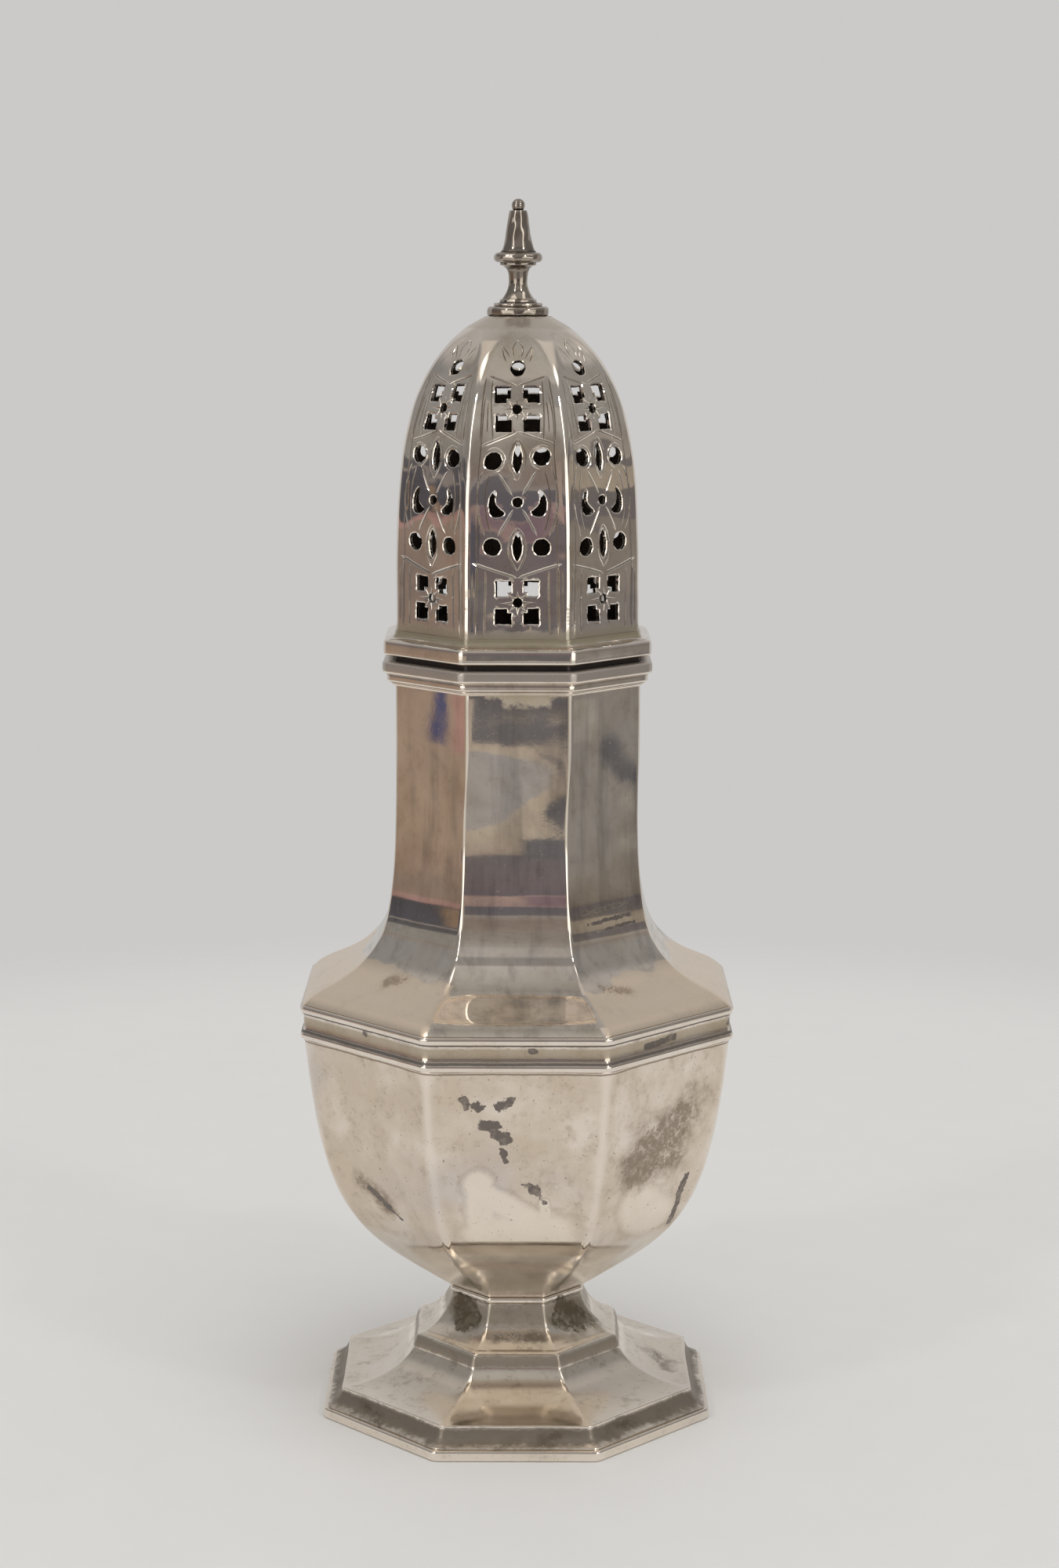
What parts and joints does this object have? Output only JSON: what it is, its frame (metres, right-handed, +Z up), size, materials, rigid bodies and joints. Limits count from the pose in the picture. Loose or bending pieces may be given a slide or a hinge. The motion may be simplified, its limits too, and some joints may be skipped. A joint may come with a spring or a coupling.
{
  "type": "sugar caster",
  "caption": "Octagonal footed sugar caster: hollow vase body with a reeded waist, a straight neck and a pierced, engraved lift-off dome cover with a turned finial.",
  "frame": {"origin": "on the floor at the middle of the foot", "axes": "+Z up along the caster's axis, -Y towards the flat panel that faces the viewer"},
  "size_m": [0.0624, 0.0624, 0.178],
  "materials": {
    "silver_foot": "polished silver, tarnished in the coves",
    "silver_body": "polished silver with a warm patina and tarnish spots",
    "silver_moulding": "polished silver, dark in the channels",
    "silver_sleeve": "dull silver",
    "silver_dome": "polished silver, pierced and engraved",
    "silver_finial": "polished silver"
  },
  "bodies": {
    "vessel": {"foot_rim": "silver_foot", "foot": "silver_foot", "foot_collar": "silver_foot", "bowl": "silver_body", "waist_moulding": "silver_moulding", "neck": "silver_body", "mouth_moulding": "silver_moulding"},
    "cover": {"cover_sleeve": "silver_sleeve", "cover_moulding": "silver_moulding", "dome": "silver_dome", "finial_collar": "silver_finial", "finial": "silver_finial"}
  },
  "joints": [
    {"name": "cover_lift", "type": "slide", "parent": "vessel", "child": "cover", "axis": [0, 0, 1], "range_m": [0, 0.05]}
  ]
}
